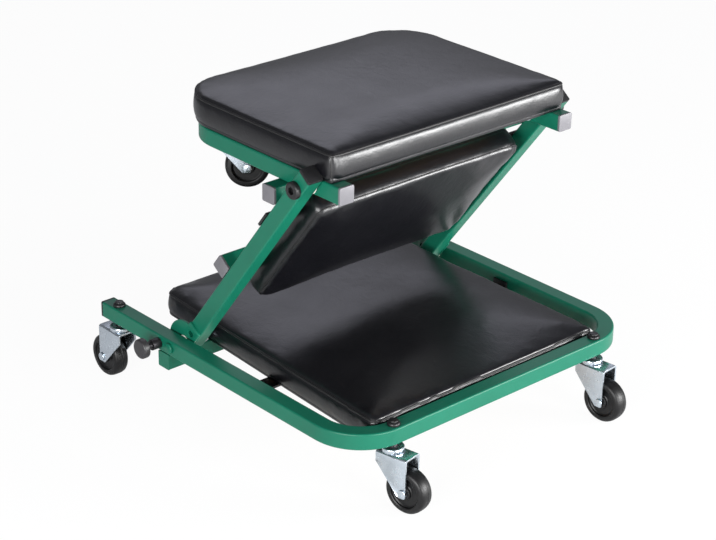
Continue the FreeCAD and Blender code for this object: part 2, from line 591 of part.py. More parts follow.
def build_middle():
    for side, word in ((-1, "left"), (1, "right")):
        arm = new_body("middle_arm_" + word, MIDDLE)
        low = "%d * middle_side - half_tube" % side
        high = "%d * middle_side + half_tube" % side
        top = "arm_span + arm_top"
        padded(arm, "XZ_Plane", low, high,
               corners=[("-half_tube", "-half_tube", "arm_end_round"),
                        (top, "-half_tube", "0"), (top, "half_tube", "0"),
                        ("-half_tube", "half_tube", "arm_end_round")])
        softened(arm, "tube_edge", lambda middle, ends, edge: abs(ends.x) > value("arm_span"))
        inner = "half_tube - tube_wall"
        cut_out(arm, "YZ_Plane", "tube_wall", top,
                corners=square("%d * middle_side" % side, "0", inner))
        holes = [("0", "0"), ("arm_span", "0")]
        if word == "left":
            holes.append(("lock_radius", "0"))
        cut_out(arm, "XZ_Plane", low, high, rings=holes, radius="bolt_radius + running_gap")
    end_plugs("middle_arm_plugs", MIDDLE, "YZ_Plane", "arm_span + arm_top", 1, "-middle_side", "0")

    # Lock plates: a lobe behind the arm, with one hole for each of the two positions.
    plates = new_body("lock_plates", MIDDLE)
    low, high = "-plate_outer", "-middle_outer"
    padded(plates, "XZ_Plane", low, high, rings=[("0", "0")], radius="plate_radius")
    padded(plates, "XZ_Plane", low, high,
           corners=oblong("0", "plate_reach", "-half_tube", "half_tube"))
    cut_out(plates, "XZ_Plane", low, high,
            corners=oblong("-2 * plate_radius", "2 * plate_radius", "-2 * plate_radius", "-half_tube"))
    holes = [("0", "0"), ("lock_radius", "0"),
             ("-lock_radius * cos(lean_angle * 1 deg)", "lock_radius * sin(lean_angle * 1 deg)")]
    cut_out(plates, "XZ_Plane", low, high, rings=holes, radius="bolt_radius + running_gap")
    both_sides(plates)

    tube = cross_piece("middle_cross_tube", MIDDLE, "middle_tube_x", "middle_tube_z",
                       "middle_outer - plug_flange")
    cut_out(tube, "XY_Plane", "middle_tube_z - tube_width", "middle_tube_z + tube_width",
            rings=[("middle_tube_x", "-screw_side"), ("middle_tube_x", "screw_side")],
            radius="screw_radius + screw_gap")
    end_plugs("middle_cross_tube_caps", MIDDLE, "XZ_Plane", "-(middle_outer - plug_flange)", -1,
              "middle_tube_x", "middle_tube_z")

    strap = new_body("middle_pad_strap", MIDDLE)
    back = "half_tube + fit_gap"
    padded(strap, "XY_Plane", back, "%s + strap_thickness" % back,
           corners=oblong("strap_x - strap_width / 2", "strap_x + strap_width / 2",
                          "-middle_outer", "middle_outer"))
    cut_out(strap, "XY_Plane", "0", "2 * tube_width",
            rings=[("strap_x", "-screw_side"), ("strap_x", "screw_side")],
            radius="screw_radius + screw_gap")

    board = new_body("middle_pad_board", MIDDLE)
    low_x, high_x = "middle_pad_start + board_inset", "middle_pad_end - board_inset"
    half = "middle_pad_half - board_inset"
    padded(board, "XY_Plane", "half_tube - board_thickness", "half_tube",
           corners=oblong(low_x, high_x, "-(%s)" % half, half, "middle_pad_round - board_inset"))
    spots = []
    for x in ("middle_tube_x", "strap_x"):
        spots += [(x, "-screw_side"), (x, "screw_side")]
    cut_out(board, "XY_Plane", "0", "tube_width", rings=spots, radius="screw_radius + screw_gap")

    screws = new_body("middle_pad_screws", MIDDLE)
    for x, seat in (("middle_tube_x", "middle_tube_z + half_tube"),
                    ("strap_x", "%s + strap_thickness" % back)):
        spots = [(x, "-screw_side"), (x, "screw_side")]
        padded(screws, "XY_Plane", seat, "%s + screw_head_height" % seat, rings=spots,
               radius="screw_head_radius")
        padded(screws, "XY_Plane", "half_tube - board_thickness + fit_gap", seat, rings=spots,
               radius="screw_radius")

    at = [("arm_span", "0")]
    bolts = new_body("upper_pivot_bolts", MIDDLE)
    padded(bolts, "XZ_Plane", "-(middle_outer + cap_head_height)", "-middle_outer", rings=at,
           radius="cap_head_radius")
    softened(bolts, "cap_head_edge", lambda middle, ends, edge:
             middle.y < value("-(middle_outer + cap_head_height) + fit_gap"))
    padded(bolts, "XZ_Plane", "-middle_outer", "-(seat_inner - fit_gap - nut_height)", rings=at,
           radius="bolt_radius")
    both_sides(bolts)
    nuts = new_body("upper_pivot_nuts", MIDDLE)
    padded(nuts, "XZ_Plane", "-(seat_inner - fit_gap)", "-(seat_inner - fit_gap - nut_height)",
           corners=hexagon("arm_span", "0"))
    cut_out(nuts, "XZ_Plane", "-middle_outer", "0", rings=at, radius="bolt_radius + running_gap")
    both_sides(nuts)
    for name, x, face in (("lower_pivot_washers", "0", "arm_inner"),
                          ("upper_pivot_washers", "arm_span", "middle_inner")):
        washers = new_body(name, MIDDLE)
        padded(washers, "XZ_Plane", "-(%s - fit_gap)" % face, "-(%s - side_gap + fit_gap)" % face,
               rings=[(x, "0")], radius="washer_radius")
        cut_out(washers, "XZ_Plane", "-frame_width", "0", rings=[(x, "0")],
                radius="bolt_radius + running_gap")
        both_sides(washers)

    half = "middle_pad_half"
    cushion("middle_pad", MIDDLE, -1, "-half_tube", "middle_pad_thick",
            [("middle_pad_start", half, "middle_pad_round"),
             ("middle_pad_end", half, "middle_pad_round")])


def build_seat():
    frame = u_tube("seat_frame", SEAT, "seat_rear + half_tube", "seat_front", "seat_side", "0",
                   "seat_bend - half_tube")
    cut_out(frame, "XZ_Plane", "-frame_width", "frame_width", rings=[("0", "0")],
            radius="bolt_radius + running_gap")
    stems = [("seat_rear + half_tube", "-seat_stem_side"), ("seat_rear + half_tube", "seat_stem_side")]
    cut_out(frame, "XY_Plane", "-tube_width", "tube_width", rings=stems,
            radius="stem_radius + running_gap")
    spots = []
    for x in ("-seat_screw_rear", "seat_screw_front"):
        spots += [(x, "-seat_side"), (x, "seat_side")]
    cut_out(frame, "XY_Plane", "-tube_width", "tube_width", rings=spots,
            radius="screw_radius + screw_gap")
    end_plugs("seat_arm_caps", SEAT, "YZ_Plane", "seat_front", 1, "-seat_side", "0")
    cross_piece("seat_stop_tube", SEAT, "stop_x", "stop_z", "stop_half")
    end_plugs("seat_stop_tube_caps", SEAT, "XZ_Plane", "-stop_half", -1, "stop_x", "stop_z")

    board = new_body("seat_pad_board", SEAT)
    half = "seat_pad_half - board_inset"
    padded(board, "XY_Plane", "half_tube", "half_tube + board_thickness",
           corners=oblong("seat_pad_rear + board_inset", "seat_pad_front - board_inset",
                          "-(%s)" % half, half))
    softened(board, "seat_pad_round - board_inset", lambda middle, ends, edge:
             abs(ends.z) > ends.Length / 2 and middle.x < 0)
    softened(board, "pad_corner / 3", lambda middle, ends, edge:
             abs(ends.z) > ends.Length / 2 and middle.x > 0)
    cut_out(board, "XY_Plane", "0", "2 * tube_width", rings=spots, radius="screw_radius + screw_gap")
    notch = "dome_radius + jam_nut_room"
    for x, y in stems:
        cut_out(board, "XY_Plane", "0", "2 * tube_width",
                corners=oblong("seat_pad_rear", x, "%s - (%s)" % (y, notch),
                               "%s + %s" % (y, notch)))
    cut_out(board, "XY_Plane", "0", "2 * tube_width", rings=stems, radius=notch)

    screws = new_body("seat_pad_screws", SEAT)
    padded(screws, "XY_Plane", "-half_tube - screw_head_height", "-half_tube", rings=spots,
           radius="screw_head_radius")
    padded(screws, "XY_Plane", "-half_tube", "half_tube + board_thickness - fit_gap", rings=spots,
           radius="screw_radius")

    stems_body = new_body("seat_caster_stems", SEAT)
    caster_stems(stems_body, stems, "-half_tube", "jam_nut_height - fit_gap")
    races = new_body("seat_caster_races", SEAT)
    caster_races(races, stems, "-half_tube")
    nuts = new_body("seat_caster_nuts", SEAT)
    jam_nuts(nuts, stems, "half_tube")

    cushion("seat_pad", SEAT, 1, "half_tube + board_thickness", "seat_pad_thick",
            [("seat_pad_rear", "seat_pad_half", "seat_pad_round"),
             ("seat_pad_front", "seat_pad_half", "pad_corner")], wraps=False)


def rounded_wire(points, height):
    """A closed wire of lines and corner arcs through (x, y, radius) at one height."""
    total = len(points)
    edges = []
    joints = []
    for at, (x, y, radius) in enumerate(points):
        here = Vector(x, y, height)
        back = (Vector(points[at - 1][0], points[at - 1][1], height) - here).normalize()
        onward = points[(at + 1) % total]
        ahead = (Vector(onward[0], onward[1], height) - here).normalize()
        half = back.getAngle(ahead) / 2
        reach = radius / math.tan(half)
        centre = here + (back + ahead).normalize() * (radius / math.sin(half))
        top = centre + (here - centre).normalize() * radius
        joints.append((here + back * reach, top, here + ahead * reach))
    for at, (first, top, last) in enumerate(joints):
        edges.append(Part.Arc(first, top, last).toShape())
        edges.append(Part.LineSegment(last, joints[(at + 1) % total][0]).toShape())
    return Part.Wire(edges)


def cushion(name, frame, way, foot, thick, ends, wraps=True):
    """A crowned pad. One that wraps its board has a pocket for it in its foot. ends are its two
    ends as (x, half width, corner radius), foot is its height over the frame's plane along way,
    1 up and -1 down."""
    (low_x, low_half, low_round), (high_x, high_half, high_round) = [
        tuple(value(text) for text in end) for end in ends]
    foot, thick = value(foot), value(thick)
    tuck, waist, crown = value("pad_tuck"), value("pad_waist"), value("pad_crown")
    middle_x = (low_x + high_x) / 2

    def level(inset, share, height):
        points = []
        for x, half, radius, inward in ((low_x, low_half, low_round, 1),
                                        (high_x, high_half, high_round, -1)):
            pair = [(x + inward * inset, -(half - inset)), (x + inward * inset, half - inset)]
            if inward < 0:
                pair.reverse()
            for corner_x, corner_y in pair:
                points.append((middle_x + (corner_x - middle_x) * share, corner_y * share,
                               max(radius - inset, radius / 3) * share))
        return rounded_wire(points, way * (foot + height))

    wires = [level(tuck * inset_share, 1, thick * height_share)
             for height_share, inset_share in TUCK_SHARES]
    wires.append(level(waist, 1, thick * (1 - waist / tuck / 3)))
    wires.append(level(waist / 2, 1, thick))
    wires += [level(waist / 2, share, thick + crown * rise) for share, rise in CROWN_SHARES]
    made = doc.addObject("Part::Feature", name)
    made.Label = name
    made.Shape = Part.makeLoft(wires, True, True)
    if wraps:
        gap, depth = value("fit_gap"), value("board_thickness")
        pocket = Part.Face(level(value("board_inset") - gap, 1, -gap))
        pocket = pocket.extrude(Vector(0, 0, way * (depth + 2 * gap)))
        made.Shape = made.Shape.cut(pocket).Solids[0]
    stand(made, frame)
    NODES.append(made)
    return made


def caster_stems(body, spots, level, above):
    """Threaded stems through the tube, riveted over under the fork's crown."""
    crown = "%s - fork_crown_drop - fork_sheet - fit_gap" % level
    padded(body, "XY_Plane", "%s - stem_flange_height" % crown, crown, rings=spots,
           radius="stem_flange_radius")
    padded(body, "XY_Plane", crown, "%s + tube_width + %s" % (level, above), rings=spots,
           radius="stem_radius")


def caster_races(body, spots, level):
    """Bearing cups between the tube and the fork."""
    low = "%s - fork_crown_drop + fit_gap" % level
    high = "%s + race_height" % low
    padded(body, "XY_Plane", low, high, rings=spots, radius="race_radius")
    softened(body, "race_edge", lambda middle, ends, edge: middle.z > value(high) - value("fit_gap"))
    cut_out(body, "XY_Plane", "%s - race_height" % low, "%s + race_height" % high, rings=spots,
            radius="stem_radius + running_gap")


def dome_nuts(body, spots, level):
    padded(body, "XY_Plane", level, "%s + dome_height" % level, rings=spots, radius="dome_radius")
    softened(body, "dome_edge", lambda middle, ends, edge:
             middle.z > value("%s + dome_height" % level) - value("fit_gap"))
    cut_out(body, "XY_Plane", "%s - dome_height" % level, "%s + dome_height - dome_cover" % level,
            rings=spots, radius="stem_radius + running_gap")


def jam_nuts(body, spots, level):
    """Low nuts in the holes of the seat's board."""
    padded(body, "XY_Plane", level, "%s + jam_nut_height" % level, rings=spots,
           radius="dome_radius")
    cut_out(body, "XY_Plane", "0", "2 * tube_width", rings=spots,
            radius="stem_radius + running_gap")


def build_caster(word, frame_x, frame_y, underside, heading):
    """One swivel caster: a bent sheet fork, its rivet and its wheel."""
    turn = "%s" % heading
    swivel = (frame_x, frame_y, underside, (0, 0, 1), turn)
    fork = new_body(word + "_fork", swivel)
    crown, foot = "-fork_crown_drop", "-axle_drop - fork_foot"
    front = "caster_trail + fork_front"
    padded(fork, "XZ_Plane", "-leg_outer", "leg_outer",
           corners=[("-fork_back", "%s - fork_shoulder" % crown, "0"),
                    ("caster_trail - fork_foot", foot, "0"), (front, foot, "0"),
                    (front, crown, "0"), ("-fork_back", crown, "0")])
    softened(fork, "fork_round", lambda middle, ends, edge:
             (abs(ends.y) > ends.Length / 2 and middle.z < value(foot) + value("fit_gap"))
             or (abs(ends.x) > ends.Length / 2 and middle.z > value(crown) - value("fit_gap")))
    cut_out(fork, "XZ_Plane", "-leg_inner", "leg_inner",
            corners=oblong("-2 * fork_back", "2 * caster_trail + fork_front",
                           "2 * (%s)" % foot, "%s - fork_sheet" % crown))
    axle_at = [("caster_trail", "-axle_drop")]
    cut_out(fork, "XZ_Plane", "-2 * leg_outer", "2 * leg_outer", rings=axle_at,
            radius="axle_radius + running_gap")
    cut_out(fork, "XY_Plane", "%s - 2 * fork_sheet" % crown, "0", rings=[("0", "0")],
            radius="stem_radius + running_gap")

    axle = new_body(word + "_axle", swivel)
    padded(axle, "XZ_Plane", "-leg_outer - axle_head_height", "-leg_outer", rings=axle_at,
           radius="axle_head_radius")
    padded(axle, "XZ_Plane", "-leg_outer", "leg_outer", rings=axle_at, radius="axle_radius")
    padded(axle, "XZ_Plane", "leg_outer", "leg_outer + axle_head_height", rings=axle_at,
           radius="axle_head_radius")

    wheel_frame = ("%s + caster_trail * cos(%s * 1 deg)" % (frame_x, turn),
                   "%s + caster_trail * sin(%s * 1 deg)" % (frame_y, turn),
                   "%s - axle_drop" % underside, (0, 0, 1), turn)
    wheel = new_body(word + "_wheel", wheel_frame)
    bore, half = "axle_radius + running_gap", "wheel_width / 2"
    hub, web = "leg_inner - fit_gap", "wheel_width / 2 - web_recess"
    section = sketch_on(wheel, "XY_Plane", "0")
    outline(section, [(bore, "-(%s)" % hub, "0"), ("hub_radius", "-(%s)" % hub, "0"),
                      ("hub_radius", "-(%s)" % web, "0"), ("rim_radius", "-(%s)" % web, "0"),
                      ("rim_radius", "-(%s)" % half, "0"), ("wheel_radius", "-(%s)" % half, "wheel_round"),
                      ("wheel_radius", half, "wheel_round"), ("rim_radius", half, "0"),
                      ("rim_radius", web, "0"), ("hub_radius", web, "0"),
                      ("hub_radius", hub, "0"), (bore, hub, "0")])
    doc.recompute()
    turned = wheel.newObject("PartDesign::Revolution", word + "_wheel_turned")
    turned.Profile = section
    turned.ReferenceAxis = (section, ["V_Axis"])
    turned.Angle = 360
    doc.recompute()


build_base()
build_lock_pin()
build_middle()
build_seat()
under_base, under_seat = "base_top - tube_width", "seat_z - half_tube"
for side, word in (("-", "left"), ("", "right")):
    build_caster("front_" + word, "front_x - half_tube", side + "front_stem_side", under_base,
                 "front_%s_angle" % word)
    build_caster("rear_" + word, "front_x - rear_stem_setback", side + "arm_side", under_base,
                 "rear_%s_angle" % word)
    build_caster("seat_" + word, "seat_x + seat_rear + half_tube", side + "seat_stem_side",
                 under_seat, "seat_%s_angle" % word)
doc.recompute()

for thing in doc.Objects:
    if "Invalid" in thing.State or "Error" in thing.State:
        raise ValueError("%s failed: %s" % (thing.Name, thing.State))
for node in NODES:
    if node.Shape.isNull() or not node.Shape.isValid() or not node.Shape.Solids:
        raise ValueError("%s has no valid solid" % node.Label)

os.makedirs("parts", exist_ok=True)
for node in NODES:
    node.Shape.exportStep("parts/%s.step" % node.Label)
    print(node.Label, len(node.Shape.Solids), round(node.Shape.Volume))
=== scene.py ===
import json
import math

import bmesh
import bpy
from mathutils import Matrix, Vector, noise
from mathutils.bvhtree import BVHTree


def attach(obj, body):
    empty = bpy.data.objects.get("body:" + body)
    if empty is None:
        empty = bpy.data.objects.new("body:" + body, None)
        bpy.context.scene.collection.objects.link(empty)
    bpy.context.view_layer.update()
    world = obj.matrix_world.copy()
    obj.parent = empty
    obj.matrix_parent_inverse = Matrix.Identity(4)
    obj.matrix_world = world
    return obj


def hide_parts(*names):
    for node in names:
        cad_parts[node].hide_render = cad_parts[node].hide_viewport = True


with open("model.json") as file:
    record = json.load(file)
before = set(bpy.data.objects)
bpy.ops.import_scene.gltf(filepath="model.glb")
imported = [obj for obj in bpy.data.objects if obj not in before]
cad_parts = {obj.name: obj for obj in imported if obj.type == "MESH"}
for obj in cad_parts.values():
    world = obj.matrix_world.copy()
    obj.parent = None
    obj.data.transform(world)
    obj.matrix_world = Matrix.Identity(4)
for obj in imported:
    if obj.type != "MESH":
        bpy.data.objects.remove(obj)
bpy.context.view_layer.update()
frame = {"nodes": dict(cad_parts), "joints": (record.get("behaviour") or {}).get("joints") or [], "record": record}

MM = 0.001
CASTERS = ("front_left", "front_right", "rear_left", "rear_right", "seat_left", "seat_right")
joint_of = {joint["name"]: joint for joint in frame["joints"]}
slot_of = {row["node"]: row["material_slot"] for row in frame["record"]["subparts"]}
body_of = {node: body for body, nodes in frame["record"]["behaviour"]["bodies"].items() for node in nodes}


# ---------------------------------------------------------------- materials

def linear(code):
    """An sRGB hex colour as a linear one."""
    channels = [int(code[at:at + 2], 16) / 255 for at in (1, 3, 5)]
    return tuple(c / 12.92 if c <= 0.04045 else ((c + 0.055) / 1.055) ** 2.4 for c in channels) + (1.0,)


def add(tree, kind, links=None, **settings):
    """A node with its settings, and its inputs set or linked."""
    made = tree.nodes.new(kind)
    for name, setting in settings.items():
        setattr(made, name, setting)
    for socket, given in (links or {}).items():
        if isinstance(given, bpy.types.NodeSocket):
            tree.links.new(given, made.inputs[socket])
        else:
            made.inputs[socket].default_value = given
    return made


def empty_tree(holder):
    """The holder's own node tree, cleared."""
    holder.use_nodes = True
    holder.node_tree.nodes.clear()
    return holder.node_tree


def two_colours(tree, factor, hex_low, hex_high):
    """The output that goes from one colour to the other with this factor."""
    made = add(tree, "ShaderNodeMix", {"Factor": factor}, data_type="RGBA")
    for socket in made.inputs:
        if socket.type == "RGBA":
            socket.default_value = linear(hex_low if socket.name == "A" else hex_high)
    return [socket for socket in made.outputs if socket.type == "RGBA"][0]


def finish_of(name, hex_low, hex_high, size_mm, roughness, bump_mm=0.0, bump_size_mm=1.0,
              spread=0.06, shader=None, stretch=(1, 1, 1)):
    """A finish with a fine drift between two near colours, a roughness that drifts with it,
    and a fine relief. Sizes are those of one patch of each pattern."""
    made = bpy.data.materials.new(name)
    tree = empty_tree(made)
    place = add(tree, "ShaderNodeTexCoord").outputs["Object"]
    stretched = add(tree, "ShaderNodeMapping", {"Vector": place, "Scale": stretch}).outputs["Vector"]
    drift = add(tree, "ShaderNodeTexNoise",
                {"Vector": stretched, "Scale": 1 / (size_mm * MM), "Detail": 3.0, "Roughness": 0.6})
    colour = two_colours(tree, drift.outputs["Fac"], hex_low, hex_high)
    rough = add(tree, "ShaderNodeMapRange",
                {"Value": drift.outputs["Fac"], "To Min": roughness - spread, "To Max": roughness + spread})
    links = {"Base Color": colour, "Roughness": rough.outputs["Result"]}
    if bump_mm:
        relief = add(tree, "ShaderNodeTexNoise",
                     {"Vector": stretched, "Scale": 1 / (bump_size_mm * MM), "Detail": 2.0})
        links["Normal"] = add(tree, "ShaderNodeBump",
                              {"Height": relief.outputs["Fac"], "Distance": bump_mm * MM,
                               "Strength": 0.6}).outputs["Normal"]
    links.update(shader or {})
    surface = add(tree, "ShaderNodeBsdfPrincipled", links)
    add(tree, "ShaderNodeOutputMaterial", {"Surface": surface.outputs["BSDF"]})
    return made


def vinyl_cover(name, hex_low, hex_high, roughness):
    """Calendered PVC cover cloth: pebbled grain of about 1.4 mm pressed into a soft gloss film.
    The grain is drawn at 1.8 mm, since the real one is too fine to show."""
    made = bpy.data.materials.new(name)
    tree = empty_tree(made)
    place = add(tree, "ShaderNodeTexCoord").outputs["Object"]
    drift = add(tree, "ShaderNodeTexNoise", {"Vector": place, "Scale": 1 / (45 * MM), "Detail": 4.0})
    colour = two_colours(tree, drift.outputs["Fac"], hex_low, hex_high)
    grain = add(tree, "ShaderNodeTexVoronoi", {"Vector": place, "Scale": 1 / (1.8 * MM), "Randomness": 1.0},
                feature="SMOOTH_F1")
    pores = add(tree, "ShaderNodeMapRange",
                {"Value": grain.outputs["Distance"], "From Max": 0.6, "To Min": 1.0, "To Max": 0.0})
    creases = add(tree, "ShaderNodeTexNoise",
                  {"Vector": place, "Scale": 1 / (14 * MM), "Detail": 3.0, "Distortion": 0.8})
    fine = add(tree, "ShaderNodeBump", {"Height": pores.outputs["Result"], "Distance": 0.10 * MM,
                                        "Strength": 0.35})
    broad = add(tree, "ShaderNodeBump", {"Height": creases.outputs["Fac"], "Distance": 0.9 * MM,
                                         "Strength": 0.35, "Normal": fine.outputs["Normal"]})
    rough = add(tree, "ShaderNodeMapRange",
                {"Value": drift.outputs["Fac"], "To Min": roughness - 0.05, "To Max": roughness + 0.07})
    surface = add(tree, "ShaderNodeBsdfPrincipled",
                  {"Base Color": colour, "Roughness": rough.outputs["Result"],
                   "Normal": broad.outputs["Normal"], "Specular IOR Level": 0.5})
    add(tree, "ShaderNodeOutputMaterial", {"Surface": surface.outputs["BSDF"]})
    return made


MATERIALS = {
    # Polyester powder coat on the steel tubes, lock plates and lower bolts, baked: smooth gloss
    # with a slight orange peel.
    "green_paint": finish_of("green_powder_coat", "#08513e", "#0b5f4a", 60, 0.38, 0.05, 2.5,
                             shader={"Specular IOR Level": 0.28}),
    # Satin black stove enamel on the flat straps, the upper bolts, and the stems and their nuts.
    "black_paint": finish_of("black_enamel", "#0b0b0c", "#131315", 20, 0.38, 0.03, 1.5,
                             shader={"Specular IOR Level": 0.4}),
    # Moulded polyethylene of the tube plugs, with a fine spark-eroded texture.
    "black_plastic": finish_of("black_polyethylene", "#0c0c0d", "#141416", 12, 0.48, 0.04, 0.9,
                               shader={"Specular IOR Level": 0.4}),
    # Moulded polypropylene of the caps, greyed by its chalk filler.
    "grey_plastic": finish_of("grey_polypropylene", "#565559", "#646367", 14, 0.45, 0.04, 0.9),
    # Moulded ABS of the pull knob.
    "knob_plastic": finish_of("dark_abs", "#1b1a1c", "#252426", 10, 0.42, 0.03, 0.8),
    # Phosphated steel of the lock pin and its sleeve, oiled dark.
    "dark_steel": finish_of("dark_phosphate", "#2b292c", "#3a373a", 5, 0.42, 0.02, 1.0,
                            shader={"Metallic": 0.7}),
    # Bright zinc plate on pressed and turned steel: a clouded bluish metal.
    "zinc": finish_of("bright_zinc_plate", "#b4bec8", "#d3dbe2", 7, 0.26, 0.02, 1.2, spread=0.08,
                      shader={"Metallic": 1.0}),
    # Turned nylon washers.
    "nylon": finish_of("turned_nylon", "#cfcdc4", "#dddbd3", 6, 0.45),
    # Birch plywood: grain along X, about 8 mm wide.
    "plywood": finish_of("birch_plywood", "#8c6b46", "#b08c60", 8, 0.62, 0.08, 2.0, stretch=(0.12, 1, 1)),
    # Calendered PVC cloth of the covers, with its pressed grain.
    "vinyl": vinyl_cover("black_pvc_cover", "#040407", "#08080c", 0.32),
    # Injection-moulded polyolefin of the caster wheels, scuffed on the tread.
    "wheel_plastic": finish_of("black_polyolefin", "#050506", "#0c0c0d", 9, 0.42, 0.05, 1.1,
                               shader={"Specular IOR Level": 0.3}),
}
# The same PVC drawn tight over the sewn edges, duller where the needle and the fold break its film.
seam_vinyl = vinyl_cover("black_pvc_piping", "#050506", "#0a0a0b", 0.55)

for name, node in frame["nodes"].items():
    node.data.materials.clear()
    node.data.materials.append(MATERIALS[slot_of[name]])


# ---------------------------------------------------------------- making pieces

SHARP_ANGLE = 35    # degrees: edges sharper than this are rounded and stay creased
FLAT_ANGLE = 1.5    # degrees: faces that meet flatter than this become one
WELD = 0.01 * MM    # points nearer than this are one


def alone(piece):
    """Selects this piece and nothing else."""
    if bpy.context.object and bpy.context.object.mode != "OBJECT":
        bpy.ops.object.mode_set(mode="OBJECT")
    bpy.ops.object.select_all(action="DESELECT")
    piece.select_set(True)
    bpy.context.view_layer.objects.active = piece


def settled(piece, angle=SHARP_ANGLE):
    """Puts the piece's place into its mesh and smooths what isn't a sharp edge."""
    alone(piece)
    bpy.ops.object.transform_apply(location=True, rotation=True, scale=True)
    bpy.ops.object.shade_smooth_by_angle(angle=math.radians(angle))


def modified(piece, kind, **settings):
    """Adds a modifier and applies it."""
    alone(piece)
    made = piece.modifiers.new(kind.lower(), kind)
    for name, setting in settings.items():
        setattr(made, name, setting)
    bpy.ops.object.modifier_apply(modifier=made.name)


def rides_with(piece, node):
    """The piece rides on the node's body."""
    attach(piece, body_of[node])


def stands_for(piece, node):
    """The piece rides with the node, takes its finish and stands for it."""
    if not piece.data.materials:
        piece.data.materials.append(MATERIALS[slot_of[node]])
    rides_with(piece, node)
    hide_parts(node)


def linked(name, data):
    """A new object in the scene."""
    made = bpy.data.objects.new(name, data)
    bpy.context.scene.collection.objects.link(made)
    return made


def meshed(name, made):
    """The bmesh as an object in the scene."""
    mesh = bpy.data.meshes.new(name)
    made.to_mesh(mesh)
    made.free()
    return linked(name, mesh)


def rounded_copy(node, width_mm, segments=2):
    """The node's own shape with its sharp edges rounded, as pressing or moulding leaves them."""
    piece = linked(node + "_finished", frame["nodes"][node].data.copy())
    alone(piece)
    bpy.ops.object.mode_set(mode="EDIT")
    bpy.ops.mesh.select_all(action="SELECT")
    bpy.ops.mesh.remove_doubles(threshold=WELD)
    bpy.ops.mesh.dissolve_limited(angle_limit=math.radians(FLAT_ANGLE))
    bpy.ops.object.mode_set(mode="OBJECT")
    modified(piece, "BEVEL", width=width_mm * MM, segments=segments, limit_method="ANGLE",
             angle_limit=math.radians(SHARP_ANGLE), use_clamp_overlap=True)
    settled(piece)
    stands_for(piece, node)


def turned(name, rings, segments):
    """A piece turned about Z: a circle is drawn out through rings of (radius, height) in mm,
    and the last ring closes on the first."""
    radius, height = rings[0]
    bpy.ops.object.select_all(action="DESELECT")
    bpy.ops.mesh.primitive_circle_add(vertices=segments, radius=radius * MM,
                                      location=(0, 0, height * MM))
    piece = bpy.context.object
    piece.name = name
    bpy.ops.object.transform_apply(location=True, rotation=False, scale=False)
    bpy.ops.object.mode_set(mode="EDIT")
    bpy.ops.mesh.select_all(action="SELECT")
    for next_radius, next_height in rings[1:]:
        bpy.ops.mesh.extrude_edges_move()
        bpy.ops.transform.resize(value=(next_radius / radius, next_radius / radius, 1),
                                 center_override=(0, 0, height * MM))
        bpy.ops.transform.translate(value=(0, 0, (next_height - height) * MM))
        radius, height = next_radius, next_height
    bpy.ops.mesh.select_all(action="SELECT")
    bpy.ops.mesh.remove_doubles(threshold=WELD)
    bpy.ops.mesh.normals_make_consistent(inside=False)
    bpy.ops.object.mode_set(mode="OBJECT")
    return piece


def along(axis, spot):
    """The placement that lays a turned piece's Z on this axis, at this spot."""
    turn = Vector((0, 0, 1)).rotation_difference(Vector(axis).normalized())
    return Matrix.Translation(spot) @ turn.to_matrix().to_4x4()


# ---------------------------------------------------------------- frame pieces

# The width in mm of each piece's rounded edges.
EDGES = {
    "base_arm_plugs": 0.8, "middle_arm_plugs": 0.8, "seat_arm_caps": 1.0, "seat_stop_tube_caps": 1.0,
    "middle_cross_tube_caps": 1.0, "lock_plates": 0.5, "base_pad_strap": 0.5, "middle_pad_strap": 0.5,
    "lock_pin_housing": 0.5, "lower_pivot_nuts": 0.4, "upper_pivot_nuts": 0.4,
    "lower_pivot_washers": 0.3, "upper_pivot_washers": 0.3, "base_pad_screws": 0.4,
    "middle_pad_screws": 0.4, "seat_pad_screws": 0.4, "base_caster_stems": 0.3,
    "seat_caster_stems": 0.3, "base_caster_races": 0.6, "seat_caster_races": 0.6,
    "seat_caster_nuts": 0.5, "lower_pivot_bolts": 0.8, "upper_pivot_bolts": 0.6, "lock_pin": 0.5,
    "base_caster_nuts": 0.6,
}
for node, width in EDGES.items():
    rounded_copy(node, width)

# The base caster nuts' domes are shallow: their height above the tubes' tops is cut to a share.
TUBE_TOP = 100 * MM
DOME_SHARE = 0.62
for vertex in bpy.data.objects["base_caster_nuts_finished"].data.vertices:
    vertex.co.z = TUBE_TOP + (vertex.co.z - TUBE_TOP) * DOME_SHARE

# Hexagon sockets in the upper bolts' heads.
HEAD_FACE = 206 * MM       # the heads' outer faces, from the middle plane
SOCKET_RADIUS = 4.6 * MM   # to the corners
SOCKET_DEPTH = 4 * MM
bolts = bpy.data.objects["upper_pivot_bolts_finished"]
cutter = bmesh.new()
for side in (-1, 1):
    centre = Vector(joint_of["seat_fold"]["pos_m"]) + Vector((0, side * HEAD_FACE, 0))
    bmesh.ops.create_cone(cutter, cap_ends=True, segments=6, radius1=SOCKET_RADIUS, radius2=SOCKET_RADIUS,
                          depth=2 * SOCKET_DEPTH, matrix=along((0, side, 0), centre))
sockets = meshed("socket_cutter", cutter)
modified(bolts, "BOOLEAN", object=sockets, operation="DIFFERENCE", solver="EXACT")
settled(bolts)
bpy.data.objects.remove(sockets)

rounded_copy("pull_knob", 0.8, segments=3)
for caster in CASTERS:
    rounded_copy(caster + "_fork", 0.6, segments=3)
    rounded_copy(caster + "_axle", 0.5)

